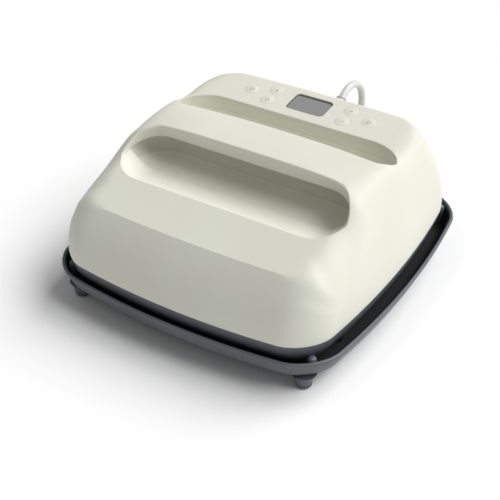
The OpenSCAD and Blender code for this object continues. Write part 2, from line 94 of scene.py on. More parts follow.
studio_walls = bpy.data.worlds.new("studio_walls")
studio_walls.use_nodes = True
wall_light = studio_walls.node_tree.nodes["Background"]
wall_light.inputs["Color"].default_value = linear("ffffff")
wall_light.inputs["Strength"].default_value = wall_glow
scene.world = studio_walls

for name, way, energy in softboxes:
    softbox = bpy.data.objects.new(name, bpy.data.lights.new(name, "SUN"))
    softbox.data.energy = energy
    softbox.data.angle = softbox_spread
    softbox.rotation_euler = Vector(way).to_track_quat("Z", "Y").to_euler()
    scene.collection.objects.link(softbox)

# ---------- Floor ----------
# A sheet of matt white background paper, 12 m wide, laid flat with the press at its middle. It
# takes the soft shadow.

paper_half_w = 6


def add_node(material, kind, links=(), stops=()):
    """Adds a shader node, sets or links its inputs, and sets a ramp's two (place, hex colour) stops."""
    node = material.node_tree.nodes.new("ShaderNode" + kind)
    for name, value in dict(links).items():
        if isinstance(value, bpy.types.NodeSocket):
            material.node_tree.links.new(value, node.inputs[name])
        else:
            node.inputs[name].default_value = value
    for number, (place, code) in enumerate(stops):
        node.color_ramp.elements[number].position = place
        node.color_ramp.elements[number].color = linear(code)
    return node


def new_material(name):
    """A material with nothing but its output, and the place on the piece that its patterns read."""
    material = bpy.data.materials.new(name)
    material.use_nodes = True
    material.node_tree.nodes.clear()
    add_node(material, "OutputMaterial")
    return material, add_node(material, "TexCoord").outputs["Object"]


def surfaced(material, shader):
    """Links a shader to the material's output."""
    output = material.node_tree.nodes["Material Output"]
    material.node_tree.links.new(shader.outputs[0], output.inputs["Surface"])
    return material


def textured(name, kind, pattern, stops, skin, depth=0.0, strength=1.0):
    """A surface with one pattern, which sets its two colours and, given a depth, raises a relief."""
    material, place = new_material(name)
    figure = add_node(material, kind, {"Vector": place, **pattern}).outputs[0]
    tone = add_node(material, "ValToRGB", {"Fac": figure}, stops)
    skin = {"Base Color": tone.outputs["Color"], **skin}
    if depth:
        bump = add_node(material, "Bump", {"Height": figure, "Strength": strength, "Distance": depth})
        skin["Normal"] = bump.outputs["Normal"]
    return surfaced(material, add_node(material, "BsdfPrincipled", skin))


# Matt white paper scatters nearly all the light, and has a faint uneven tone.
white_paper = textured(
    "white_background_paper", "TexNoise", {"Scale": 1.5, "Detail": 2.0},
    ((0.3, "f7f7f7"), (0.7, "fafafa")), {"Roughness": 0.9})
paper = bmesh.new()
bmesh.ops.create_grid(paper, x_segments=2, y_segments=2, size=paper_half_w)
floor = bpy.data.objects.new("floor", bpy.data.meshes.new("floor"))
paper.to_mesh(floor.data)
paper.free()
floor.data.materials.append(white_paper)
scene.collection.objects.link(floor)

# ---------- Power cord ----------
# A three-core mains lead in a smooth white PVC jacket, 7.4 mm thick: 1.75 m of it, or 1.8 m with the
# plug. It rises from the rear wall, arches over to the table and is wound into a coil there.

MM = 0.001
cord_d = 7.4
cord_exit = Vector((0, 130.6, 95.4))
cord_rise = radians(35)
relief_length = 26
arch_radius = 30
arch_centre = (169.5, 86)
drop = [
    (0, 199.5, 72), (0, 199.5, 58), (-0.5, 200, 45.5), (-2.5, 202.5, 33.5), (-6, 206.5, 23),
    (-11.5, 212.5, 14), (-18.5, 219.5, 7.5), (-26.5, 227, 4.5), (-35.5, 235, 4)]
tail = [
    (-119, 191, 17.6), (-122.2, 186.7, 16.2), (-126.9, 182.1, 14.6), (-133.0, 178.1, 13.1),
    (-140.6, 175.1, 11.9), (-149.5, 174, 11.5)]
coil_centre = (-75, 206)
coil_mid_r = 37
coil_low = 1 + cord_d / 2
coil_turns = 6.15
steps_in_turn = 36
sideways_part = (0.66, 0.34)
upwards_part = (0.70, 0.28)
line_step = 2.6


def eased(value, zone):
    """Eases from 0 to 1 over a zone, given as where it starts and how long it is."""
    t = min(1.0, max(0.0, (value - zone[0]) / zone[1]))
    return t * t * (3 - 2 * t)


def mix(a, b, t):
    """The value a share t of the way from a to b."""
    return a + (b - a) * t


def arc_points(radius, begin, end, count=18, centre=(0, 0)):
    """Points along an arc, from one angle to another in degrees."""
    angles = [radians(mix(begin, end, i / count)) for i in range(count + 1)]
    return [(centre[0] + radius * cos(a), centre[1] + radius * sin(a)) for a in angles]


def smooth_line(points, pieces):
    """A smooth curve through points, with so many pieces between each pair."""
    points = [Vector(p) for p in points]
    line = []
    for i in range(len(points) - 1):
        a, b = points[i], points[i + 1]
        slope_a = (b - points[i - 1]) / 2 if i else b - a
        slope_b = (points[i + 2] - a) / 2 if i + 2 < len(points) else b - a
        for k in range(pieces):
            t = k / pieces
            line.append(
                a * (2 * t**3 - 3 * t**2 + 1) + slope_a * (t**3 - 2 * t**2 + t)
                + b * (3 * t**2 - 2 * t**3) + slope_b * (t**3 - t**2))
    return line + [points[-1]]


def evenly(line, step):
    """The same line with its points a step apart."""
    line = [Vector(p) for p in line]
    long = sum((b - a).length for a, b in zip(line, line[1:]))
    pieces = max(1, round(long / step))
    spaced, walked, i = [line[0]], 0.0, 0
    for k in range(1, pieces):
        goal = long * k / pieces
        while walked + (line[i + 1] - line[i]).length < goal:
            walked += (line[i + 1] - line[i]).length
            i += 1
        spaced.append(line[i].lerp(line[i + 1], (goal - walked) / (line[i + 1] - line[i]).length))
    return spaced + [line[-1]]


def coil_point(turn):
    """A point of the winding: out, in, up a layer, out again, and so on, from the rear of the coil."""
    pass_number = int(turn + 1e-9)
    part = turn - pass_number
    out_now = pass_number % 4 in (0, 3)
    out_next = (pass_number + 1) % 4 in (0, 3)
    layer_now, layer_next = pass_number // 2, (pass_number + 1) // 2
    sideways = eased(part, sideways_part) if out_now != out_next else 0.0
    upwards = eased(part, upwards_part) if layer_now != layer_next else 0.0
    radius = coil_mid_r + cord_d / 2 * mix(1 if out_now else -1, 1 if out_next else -1, sideways)
    angle = radians(90) + 2 * pi * turn
    return Vector((
        coil_centre[0] + radius * cos(angle), coil_centre[1] + radius * sin(angle),
        coil_low + cord_d * mix(layer_now, layer_next, upwards)))


exit_way = Vector((0, cos(cord_rise), sin(cord_rise)))
arch = [(0, y, z) for y, z in arc_points(arch_radius, 125, 0, 10, arch_centre)]
start = [cord_exit + exit_way * relief_length * i / 3 for i in range(3)]
lead_in = [(-44.5, 240.8, 4.4), (-54, 245.0, coil_low), (-64.5, 246.8, coil_low)]
winding = [coil_point(k / steps_in_turn) for k in range(int(steps_in_turn * coil_turns) + 1)]
run_out = [
    (-104.4, 222.5, 26.4), (-107.7, 216.4, 25.2), (-110.7, 209.8, 23.4), (-113.4, 203.0, 21.3),
    (-116.1, 196.6, 19.3)]
route = evenly(smooth_line(start + arch + drop + lead_in + winding + run_out + tail, 6), line_step)


def turned_to(way):
    """A turn that takes +Z to a direction."""
    return Vector(way).normalized().to_track_quat("Z", "Y").to_matrix().to_4x4()


def drawn_on(bm, edges):
    """Extrudes open edges, and gives the new points and the new edges between them."""
    made = bmesh.ops.extrude_edge_only(bm, edges=edges)["geom"]
    points = {item for item in made if isinstance(item, bmesh.types.BMVert)}
    edges = [item for item in made if isinstance(item, bmesh.types.BMEdge)]
    return points, [edge for edge in edges if all(point in points for point in edge.verts)]


def drawn_tube(bm, line, diameter, sides=16):
    """A round tube: one circle, drawn from point to point along a line and turned with it."""
    neighbours = zip(line[:1] + line, line[1:] + line[-1:])
    ways = [(after - before).normalized() for before, after in neighbours]
    circle = bmesh.ops.create_circle(bm, segments=sides, radius=diameter / 2)["verts"]
    bmesh.ops.transform(bm, matrix=Matrix.Translation(line[0]) @ turned_to(ways[0]), verts=circle)
    edges = list({edge for point in circle for edge in point.link_edges})
    first = edges
    for i in range(1, len(line)):
        circle, edges = drawn_on(bm, edges)
        turn = ways[i - 1].rotation_difference(ways[i]).to_matrix().to_4x4()
        moved = Matrix.Translation(line[i]) @ turn @ Matrix.Translation(-line[i - 1])
        bmesh.ops.transform(bm, matrix=moved, verts=list(circle))
    bmesh.ops.contextual_create(bm, geom=first)
    bmesh.ops.contextual_create(bm, geom=edges)


def finished(bm, name, material, body, replaces=(), sharp=35, turn_out=True, place=None):
    """Sets a piece in its place, scales it to metres, names and shades it, and rides it on its body."""
    if place:
        bmesh.ops.transform(bm, matrix=place, verts=bm.verts)
    bmesh.ops.scale(bm, vec=(MM, MM, MM), verts=bm.verts)
    if turn_out:
        bmesh.ops.recalc_face_normals(bm, faces=bm.faces)
    piece = bpy.data.objects.new(name, bpy.data.meshes.new(name))
    bm.to_mesh(piece.data)
    bm.free()
    piece.data.materials.append(material)
    scene.collection.objects.link(piece)
    piece.data.shade_smooth()
    piece.data.set_sharp_from_angle(angle=radians(sharp))
    if body:
        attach(piece, body)
    if replaces:
        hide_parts(*replaces)
    return piece


cloud_mm = 70


def moulded_plastic(name, colours, roughness, grain_mm=1.2, grain_depth_mm=0.012):
    """A moulded plastic skin: two close tones in wide soft clouds, and the fine grain of the mould."""
    material, place = new_material(name)
    cloud = add_node(material, "TexNoise", {"Vector": place, "Scale": 1 / (cloud_mm * MM), "Detail": 2.0})
    grain = add_node(
        material, "TexNoise",
        {"Vector": place, "Scale": 1 / (grain_mm * MM), "Detail": 3.0, "Roughness": 0.6})
    shine = add_node(
        material, "MapRange",
        {"Value": grain.outputs["Fac"], "To Min": roughness - 0.05, "To Max": roughness + 0.05})
    bump = add_node(
        material, "Bump",
        {"Height": grain.outputs["Fac"], "Strength": 1.0, "Distance": grain_depth_mm * MM})
    tone = add_node(
        material, "ValToRGB", {"Fac": cloud.outputs["Fac"]},
        ((0.35, colours[0]), (0.65, colours[1])))
    return surfaced(material, add_node(
        material, "BsdfPrincipled",
        {"Base Color": tone.outputs["Color"], "Roughness": shine.outputs["Result"],
         "Normal": bump.outputs["Normal"], "IOR": 1.5}))


# Soft PVC is extruded, so the jacket is smooth with a low shine and only a faint waviness.
cord_jacket = moulded_plastic("extruded_pvc_jacket", ("d2d2d0", "d8d8d6"), 0.42, 4.0, 0.02)

cord_mesh = bmesh.new()
drawn_tube(cord_mesh, route, cord_d)
power_cord = finished(
    cord_mesh, "mains_cord", cord_jacket, None, ("power_cord", "cord_coil", "cord_tail"))
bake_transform(power_cord)

# ---------- Strain relief ----------
# A ribbed sleeve of soft PVC moulded round the cord, held in the rear wall by its flange. It tapers
# towards the cord, with slots between the ribs so that it bends evenly.

relief_profile = [
    (3.75, -8), (9.6, -8), (9.6, -6), (8, -6), (8, 4.2), (9, 4.5), (9.4, 5.2), (9, 6), (7.7, 6.4),
    (7.5, 7.4)]
rib_pitch = 3.6
rib_depth = 1.5


def taper(z):
    """The sleeve's outer radius at a distance along it."""
    return mix(7.6, 5.2, z / relief_length)


for rib in range(5):
    z = 9 + rib_pitch * rib
    relief_profile += [
        (taper(z), z), (taper(z) - rib_depth, z + 0.4), (taper(z) - rib_depth, z + 1.5),
        (taper(z), z + 1.9)]
relief_profile += [(5.2, 25.2), (4.6, relief_length), (3.75, relief_length)]


def spun(bm, profile, steps=48):
    """A turned shape: (radius, height) points joined up and spun once round +Z."""
    points = [bm.verts.new((r, 0, z)) for r, z in profile]
    edges = [bm.edges.new(pair) for pair in zip(points, points[1:])]
    bmesh.ops.spin(
        bm, geom=points + edges, cent=(0, 0, 0), axis=(0, 0, 1), angle=2 * pi, steps=steps,
        use_merge=True)
    bmesh.ops.remove_doubles(bm, verts=bm.verts, dist=0.001)


sleeve = bmesh.new()
spun(sleeve, relief_profile + relief_profile[:1])
sleeve_place = Matrix.Translation(cord_exit) @ turned_to(exit_way)
# Softer PVC than the jacket's: the same white with a duller shine.
relief_pvc = moulded_plastic("soft_pvc_sleeve", ("d0d0ce", "d6d6d4"), 0.45)
strain_relief = finished(
    sleeve, "cord_sleeve", relief_pvc, "press", ("strain_relief",), 40, place=sleeve_place)

# ---------- Plug ----------
# A three-pin grounded plug moulded in the same white PVC on the end of the cord, with two flat brass
# pins and a round earth pin. Its sides have a thumb hollow and grip ridges.

plug_at = Vector((-150, 174, 11.5))
plug_place = Matrix.Translation(plug_at) @ Matrix.Rotation(radians(-90), 4, "Y")
plug_half_w, plug_half_h = 11.5, 13.5
ridge_pitch = 2.6
ridge_depth = 0.6


def rounded_ring(half_x, half_y, r, z, corner=10, side=5):
    """The points of a rounded rectangle, anticlockwise from its right side."""
    arcs = []
    for q, (sx, sy) in enumerate(((1, 1), (-1, 1), (-1, -1), (1, -1))):
        arc = arc_points(r, 90 * q, 90 * q + 90, corner, (sx * (half_x - r), sy * (half_y - r)))
        arcs.append([Vector((x, y, z)) for x, y in arc])
    ring = []
    for arc, after in zip(arcs, arcs[1:] + arcs[:1]):
        ring += arc + [arc[-1].lerp(after[0], i / side) for i in range(1, side)]
    return ring


def drawn_rings(bm, rings, closed=True):
    """A skin drawn from a ring of points to the next, and so on; gives its first and last edges."""
    number = bm.verts.layers.int.get("number") or bm.verts.layers.int.new("number")
    points = bmesh.ops.create_circle(bm, segments=len(rings[0]), radius=1)["verts"]
    for i, point in enumerate(points):
        point[number] = i
        point.co = rings[0][i]
    edges = list({edge for point in points for edge in point.link_edges})
    first = edges
    for ring in rings[1:]:
        points, edges = drawn_on(bm, edges)
        for point in points:
            point.co = ring[point[number]]
    if closed:
        bmesh.ops.contextual_create(bm, geom=first)
        bmesh.ops.contextual_create(bm, geom=edges)
    return first, edges


plug_stages = [
    (4.4, 4.4, 4.3, 0), (5, 5, 4.9, 0.6), (5.6, 5.6, 5.5, 3), (7.6, 7.8, 7.4, 10), (8.6, 9.2, 8.3, 14),
    (9.8, 11.2, 8.6, 15.6), (11, 12.9, 8, 17.2), (11.5, 13.5, 7, 19.5)]
for ridge in range(4):
    for depth, along in ((0, 0), (ridge_depth, 0.5), (ridge_depth, 1.2), (0, 1.7)):
        plug_stages.append(
            (plug_half_w - depth, plug_half_h - depth, 7, 21 + ridge_pitch * ridge + along))
plug_stages += [(11.5, 13.5, 7, 34.6), (11.2, 13.2, 7, 35.5), (10.4, 12.4, 6.4, 36)]
plug_mesh = bmesh.new()
drawn_rings(plug_mesh, [rounded_ring(w, h, r, z) for w, h, r, z in plug_stages])
plug = finished(
    plug_mesh, "cord_plug", relief_pvc, "base", ("plug_body",), 40, place=plug_place)

# ---------- Cord tie ----------
# A strip of black hook-and-loop tape, woven in nylon, wrapped round the coil with its end pressed
# down on itself.

tie_thickness = 0.8
tie_width = 12
tie_at = Vector((coil_centre[0] + coil_mid_r, coil_centre[1], 1 + 1.5 * cord_d))


# Woven nylon tape is matt black, with a nap of tiny loops that catches a little light.
tie_tape = textured(
    "hook_and_loop_tape", "TexVoronoi", {"Scale": 1 / (0.9 * MM)}, ((0.1, "3a3a3c"), (0.6, "1c1c1e")),
    {"Roughness": 0.85, "Sheen Weight": 0.3}, 0.3 * MM)
half_w, half_h = cord_d + 0.1, 1.5 * cord_d + 0.05
tie_mesh = bmesh.new()
tie_first, tie_last = drawn_rings(tie_mesh, [
    rounded_ring(half_w + out, half_h + out, 3.2, end * tie_width / 2)
    for out, end in ((0, -1), (tie_thickness, -1), (tie_thickness, 1), (0, 1))], closed=False)
bmesh.ops.bridge_loops(tie_mesh, edges=tie_first + tie_last)
tie_place = Matrix.Translation(tie_at) @ Matrix.Rotation(radians(90), 4, "X")
tie = finished(tie_mesh, "coil_tie", tie_tape, "base", ("cord_tie",), place=tie_place)

# ---------- Safety base ----------
# A tray moulded in dark grey glass-filled nylon, with a rolled rim and a thick heat mat. Its sides
# swell a little between rounded corners, as the press's own sides do.

rim_half_w = 153
rim_half_d = 159.3
rim_top = 36
tray_bow = 13.6
outline_points = 18
leg_places = [(x, y, 0) for x in (-118, 118) for y in (-129, 129)]
leg_profile = [
    (0, 3.4), (6.8, 3.4), (7.2, 3.7), (7.7, 6), (8.3, 10), (9.4, 13), (11.2, 15.2), (0, 15.2)]


def swollen(point, half_x, half_y, bow):
    """Pulls the corners of an outline in, so that its sides swell between them."""
    x, y, z = point
    return Vector((
        x * (1 - bow * (y / half_y) ** 2 / half_x), y * (1 - bow * (x / half_x) ** 2 / half_y), z))


def swollen_skin(bm, profile, half_x, half_y, bow, centre_y=0.0, closed=True):
    """A skin of swollen rounded rectangles, from (inset, corner radius, height) stages."""
    rings = []
    for inset, r, z in profile:
        w, h = half_x - inset, half_y - inset
        ring = rounded_ring(w, h, r, z, outline_points, outline_points)
        rings.append([swollen(point, w, h, bow) + Vector((0, centre_y, 0)) for point in ring])
    return drawn_rings(bm, rings, closed)


def spun_at(bm, profile, places, steps=48):
    """Adds the same turned shape at each of several places."""
    for place in places:
        turned = bmesh.new()
        spun(turned, profile, steps)
        bmesh.ops.translate(turned, vec=place, verts=turned.verts)
        turned_mesh = bpy.data.meshes.new("turned")
        turned.to_mesh(turned_mesh)
        turned.free()
        bm.from_mesh(turned_mesh)
        bpy.data.meshes.remove(turned_mesh)


tray_outside = [
    (30, 20, 13.5), (17, 24, 13.5), (12.6, 26, 14.2), (9.4, 28, 15.7), (6.4, 30, 19), (4.3, 31.5, 23.5),
    (2.9, 33, 28), (2.2, 34, 31.2), (1.7, 34.4, 32.2)]
tray_lip = [
    (0.5, 35, 32.4), (0.1, 35.4, 33.0), (0, 35.5, 33.8), (0.15, 35.4, 34.9), (0.7, 35, 35.7),
    (1.5, 34.4, rim_top), (2.3, 33.8, 35.75), (2.9, 33.2, 35.1), (3.3, 32.8, 34)]
tray_inside = [
    (3.7, 32.4, 32), (4.6, 31.4, 28), (6.2, 30, 23), (8.6, 28.4, 19), (11.4, 26.6, 17.1), (16, 24, 16.5),
    (30, 20, 16.5)]
tray_profile = smooth_line(tray_outside, 2) + smooth_line(tray_lip, 3) + smooth_line(tray_inside, 3)
tray_mesh = bmesh.new()
swollen_skin(tray_mesh, tray_profile, rim_half_w, rim_half_d, tray_bow)
spun_at(tray_mesh, leg_profile, leg_places)
# Glass-filled nylon comes out of the mould matt and faintly mottled.
tray_nylon = moulded_plastic("moulded_glass_filled_nylon", ("585b61", "60636a"), 0.46, 1.5, 0.02)
finished(tray_mesh, "tray_shell", tray_nylon, "base", ("base_tray",), sharp=50)

# ---------- Feet ----------
# Four round feet, moulded in silicone rubber and pressed on the legs of the base, so that it doesn't
# slide.

foot_profile = [
    (0, 0), (4.5, 0), (5.5, 0.25), (6.5, 0.9), (7.1, 1.8), (7.3, 2.8), (7.2, 3.3), (6.9, 3.5), (0, 3.5)]
feet_mesh = bmesh.new()
spun_at(feet_mesh, foot_profile, leg_places, 32)
# Silicone rubber: quite matt, and a touch darker than the legs.
foot_silicone = moulded_plastic("moulded_silicone_rubber", ("515359", "585a60"), 0.6, 1.5, 0.02)
finished(feet_mesh, "feet", foot_silicone, "base", ("foot_pads",))

# ---------- Corner posts ----------
# Four short posts moulded in the tray's nylon, standing inside its corners. They guide the press
# down into the base.

post_profile = [
    (0, 16.8), (6.4, 16.8), (5.4, 17.6), (4.9, 19), (4.7, 22), (4.3, 28), (4.1, 31.7), (3.9, 33.1),
    (3.3, 34.4), (2.3, 35.2), (1.2, 35.5), (0, 35.55)]
post_places = [(side * x, y, 0) for x, y in ((125.4, -129.95), (124.3, 132.99)) for side in (-1, 1)]
wall_clearance = 0.3


def workpiece(bm, name):
    """A bare mesh object with its faces outwards, for cutting one shape with another."""
    bmesh.ops.recalc_face_normals(bm, faces=bm.faces)
    piece = bpy.data.objects.new(name, bpy.data.meshes.new(name))
    bm.to_mesh(piece.data)
    bm.free()
    scene.collection.objects.link(piece)
    return piece


def cut(piece, cutter, keep="DIFFERENCE"):
    """Cuts one shape out of another, or keeps what they share, and throws the cutter away."""
    knife = piece.modifiers.new("cut", "BOOLEAN")
    knife.operation = keep
    knife.solver = "MANIFOLD"
    knife.object = cutter
    result = bpy.data.meshes.new_from_object(piece.evaluated_get(bpy.context.evaluated_depsgraph_get()))
    piece.modifiers.clear()
    old = piece.data
    piece.data = result
    bpy.data.meshes.remove(old)
    bpy.data.meshes.remove(cutter.data)
    return piece


def refinished(piece, material, body, replaces, sharp):
    """Scales, shades and names a cut piece as finished() does a new one."""
    bm = bmesh.new()
    bm.from_mesh(piece.data)
    bmesh.ops.remove_doubles(bm, verts=bm.verts, dist=0.005)
    bmesh.ops.dissolve_degenerate(bm, dist=0.003, edges=bm.edges)
    name = piece.name
    piece.name = "cut_away"
    bpy.data.meshes.remove(piece.data)
    return finished(bm, name, material, body, replaces, sharp, turn_out=False)


posts_mesh = bmesh.new()
spun_at(posts_mesh, post_profile, post_places, 32)
hollow_mesh = bmesh.new()
hollow_profile = [(30, 20, 16.7)] + smooth_line(tray_inside[:-1], 2)[::-1] + [(3.7, 32.4, 40)]
swollen_skin(
    hollow_mesh, hollow_profile, rim_half_w - wall_clearance, rim_half_d - wall_clearance, tray_bow)
posts = cut(workpiece(posts_mesh, "guide_posts"), workpiece(hollow_mesh, "tray_hollow"), "INTERSECT")
# The posts wear smooth where the press slides past them, so they shine a little more than the tray.
post_nylon = moulded_plastic("moulded_nylon_posts", ("62646b", "6a6c73"), 0.4, 1.5, 0.02)
refinished(posts, post_nylon, "base", ("corner_guides",), 35)

# ---------- Painted shade inside the tray ---
# A thin near-black sheet just inside the tray, up its wall and round the heat mat. It is painted
# shade: it darkens the inside of the tray, which lies in shadow under the press.

shade_sheet_lift = 0.06
shade_sheet_profile = [(3.55, 32.6, 33.4)] + smooth_line(tray_inside, 2) + [(40, 16, 16.5)]
shade_sheet_mesh = bmesh.new()
swollen_skin(
    shade_sheet_mesh, [(inset + shade_sheet_lift, r, z + shade_sheet_lift) for inset, r, z in shade_sheet_profile],
    rim_half_w, rim_half_d, tray_bow, closed=False)
# Near-black, as painted shade: it gives back almost no light.
painted_shade_black = moulded_plastic("painted_shade_sheet_black", ("151516", "1b1b1c"), 0.75, 0.9, 0.03)
finished(shade_sheet_mesh, "painted_shade_tray_sheet", painted_shade_black, "base", sharp=50, turn_out=False)

# ---------- Lower skirt ----------
# The press's underside: a ring of dark heat-proof plastic that hangs below the cream housing and
# surrounds the heat plate. Its outer face rolls inwards at the bottom.

body_half_w = 142.2
body_half_d = 148.7
body_y = -5.4
body_foot = 48.8
skirt_bow = 11.5
skirt_outside = [
    (13.5, 21.5, 26), (10.6, 23.5, 26.3), (8.0, 25.5, 27.6), (6.0, 27.3, 30), (4.2, 28.8, 33.5),
    (2.5, 30.4, 37.5), (1.2, 32, 42), (0.6, 32.8, 46), (0.5, 33, 48.4)]
skirt_flange = [(0.6, 32.9, 48.5), (46, 14, 48.5), (46, 14, 46.1), (7, 29, 46.1)]
skirt_inside = [
    (5.9, 29, 42), (7.4, 27, 34), (10.4, 24, 30), (15, 20, 28.4), (24, 20, 28.2), (24, 20, 27.4)]
skirt_mesh = bmesh.new()
skirt_profile = smooth_line(skirt_outside, 3) + skirt_flange + skirt_inside
skirt_first, skirt_last = swollen_skin(
    skirt_mesh, skirt_profile, body_half_w, body_half_d, skirt_bow, body_y, closed=False)
bmesh.ops.bridge_loops(skirt_mesh, edges=skirt_first + skirt_last)
# Glass-filled polyphenylene sulphide: dark, dense and a little glossier than the tray.
skirt_pps = moulded_plastic("moulded_heat_proof_plastic", ("4d5056", "54575e"), 0.38, 1.5, 0.015)
finished(skirt_mesh, "skirt", skirt_pps, "press", ("lower_skirt",), sharp=50)

# ---------- Housing ----------
# The press's body: one cream shell, injection moulded in ABS 2.5 mm thick. Its walls lean in faster
# and faster; the front edge of its top is crisp in the middle and melts into soft shoulders.

wall = 2.5
strip_tilt = radians(18)
panel_tilt = radians(5.7)
strip_origin = Vector((0, -54.9, 121.5))
panel_origin = Vector((0, 72.3, 133))
handle_front = (-32.7, 142.5)
handle_rear = (22.3, 137.8)
handle_crown = 1.6
handle_rise = (-62, 29)
handle_fall = (20, 37)
shoulder_x = 108
top_centre = Vector((0, -8, 0))
straight_share = 0.8
body_corner = 33
lean_power = 1.67
side_lean, rear_lean, front_lean = 0.0140, 0.0205, 0.0440
front_lean_top = 62
least_bow = 3
skin_slope = 1.08


def top_height(x, y):
    """The height of the housing's top: a sloped strip, a crowned handle and a nearly level panel."""
    strip = strip_origin.z + (y - strip_origin.y) * tan(strip_tilt)
    panel = panel_origin.z + (y - panel_origin.y) * tan(panel_tilt)
    across = (y - handle_front[0]) / (handle_rear[0] - handle_front[0])
    near = min(1.0, max(0.0, across))
    crown = mix(handle_front[1], handle_rear[1], across) + handle_crown * (1 - (2 * near - 1) ** 2)
    crown -= mix(5 * (x / 100) ** 4, (x / 100) ** 2, near)
    front_to_grip = mix(strip, crown, eased(y, handle_rise))
    return mix(front_to_grip, panel, eased(y, handle_fall)) - max(0.0, abs(x) - shoulder_x) ** 2 / 30


def wall_point(edge, along, h, inset):
    """A point of the wall at height h on one of four sides; along runs from -1 to 1 over the side."""
    lean = max(0.0, h) ** lean_power
    half_x = body_half_w - side_lean * lean - inset
    back = body_half_d - rear_lean * lean - inset
    front = body_half_d - front_lean * max(0.0, min(h, front_lean_top)) ** lean_power - inset
    r = body_corner - inset
    turn = max(0.0, abs(along) - straight_share) / (1 - straight_share) * pi / 4
    run = min(1.0, abs(along) / straight_share) * (1 if along > 0 else -1)
    round_part = r * sin(turn) if along > 0 else -r * sin(turn)
    if edge in ("right", "left"):
        half_y = back if along > 0 else front
        x = half_x - r + r * cos(turn)
        y = run * (half_y - r) + round_part
        x = x if edge == "right" else -x
    else:
        half_y = back if edge == "rear" else front
        x = run * (half_x - r) + round_part
        y = half_y - r + r * cos(turn)
        y = y if edge == "rear" else -y
    bow = max(least_bow, skirt_bow - (0.10 if y > 0 else 0.17) * h)
    half_y = back if y > 0 else front
    return swollen((x, y, body_foot + h), half_x, half_y, bow) + Vector((0, body_y, 0))


def just_below(point_at, low, high, halvings, depth=0.0):
    """Halves towards the last height at which a point is still under the top by a depth."""
    for halving in range(halvings):
        middle = (low + high) / 2
        point = point_at(middle)
        low, high = (middle, high) if point.z < top_height(point.x, point.y) - depth else (low, middle)
    return low


def edge_height(edge, along, inset):
    """How high the wall reaches before it meets the top."""
    return just_below(
        lambda h: wall_point(edge, along, h, inset), 10.0, 110.0, 24, skin_slope * inset)


def drawn_body(bm, top_cells, wall_cells, inset, foot):
    """The body as a grid: its middle laid over the top, its outer cells drawn down the walls."""
    reach = top_cells + wall_cells
    grid = bmesh.ops.create_grid(bm, x_segments=2 * reach, y_segments=2 * reach, size=reach)["verts"]
    heights = {}
    ring_of = {}
    for point in grid:
        column, row = round(point.co.x), round(point.co.y)
        ring = max(abs(column), abs(row))
        if abs(column) == ring:
            edge, along = ("right" if column > 0 else "left"), row / max(1, ring)
        else:
            edge, along = ("rear" if row > 0 else "front"), column / max(1, ring)
        place = (edge, round(along, 6))
        if place not in heights:
            heights[place] = edge_height(edge, along, inset)
        top = heights[place]
        ring_of[point] = ring
        if ring > top_cells:
            down = (ring - top_cells) / wall_cells
            point.co = wall_point(edge, along, mix(top, foot, down), inset)
        else:
            rim = wall_point(edge, along, top, inset)
            share = ring / top_cells
            x, y = mix(top_centre.x, rim.x, share), mix(top_centre.y, rim.y, share)
            point.co = (x, y, top_height(x, y) - skin_slope * inset)
    return ring_of


front_zone = (88, 18)
front_side_zone = (86, 34)
rear_zone = (70, 20)
rear_side_zone = (90, 24)
rear_least = 6
fading = 5


def soften_edge(bm, ring_of, edge_ring, most, band=12):
    """Smooths the edge round the top: hardly at all in the middle of the front, most at the sides."""
    passes = {}
    for point, ring in ring_of.items():
        if abs(ring - edge_ring) > band:
            continue
        x, y, _ = point.co
        wanted = mix(most, mix(0, most, eased(abs(x), front_side_zone)), eased(-y, front_zone))
        wanted = mix(
            wanted, mix(rear_least, most, eased(abs(x), rear_side_zone)), eased(y, rear_zone))
        passes[point] = round(wanted * (1 - eased(abs(ring - edge_ring) - band, (-fading, fading))))
    for turn in range(most):
        moving = [point for point, wanted in passes.items() if wanted > turn]
        bmesh.ops.smooth_vert(
            bm, verts=moving, factor=0.5, use_axis_x=True, use_axis_y=True, use_axis_z=True)


def closed_below(bm, z):
    """Draws the open edge of a body straight down to a height and closes it."""
    points, last = drawn_on(bm, [edge for edge in bm.edges if edge.is_boundary])
    for point in points:
        point.co.z = z
    bmesh.ops.contextual_create(bm, geom=last)


outer = bmesh.new()
soften_edge(outer, drawn_body(outer, 54, 32, 0, 0), 54, 22)
closed_below(outer, body_foot - 0.001)
inner = bmesh.new()
soften_edge(inner, drawn_body(inner, 22, 12, wall, 0), 22, 5, 6)
closed_below(inner, body_foot - 6)
housing = workpiece(outer, "housing_shell")
hollow = workpiece(inner, "hollow")

# The mouth in front of the grip is a long slot with round ends, square to the sloped strip.
mouth_half_l = 111.9
mouth_half_w = 28.5
strip_place = Matrix.Translation(strip_origin) @ Matrix.Rotation(strip_tilt, 4, "X")


def stadium(half_l, half_w, arc=32, side=30):
    """Points round a slot with round ends, and the way out from it at each, anticlockwise."""
    straight = half_l - half_w
    points = []
    for end in (1, -1):
        for i in range(arc + 1):
            angle = pi * i / arc - pi / 2 + (0 if end > 0 else pi)
            way = Vector((cos(angle), sin(angle), 0))
            points.append((Vector((end * straight, 0, 0)) + way * half_w, way))
        for i in range(1, side):
            way = Vector((0, end, 0))
            points.append((Vector((end * mix(straight, -straight, i / side), end * half_w, 0)), way))
    return points


def with_ways(points, side):
    """Each point of a closed line with the way out from it there: side is 1 if clockwise, -1 if not."""
    count = len(points)
    ways = [(points[(i + 1) % count] - points[i - 1]).normalized() for i in range(count)]
    return [(point, Vector((-way.y * side, way.x * side, 0))) for point, way in zip(points, ways)]


# The slot behind the grip follows the grip's back edge and rounds forward at its ends.
slot_rear_y = 57.7
slot_r, slot_end_r = 41, 14.5


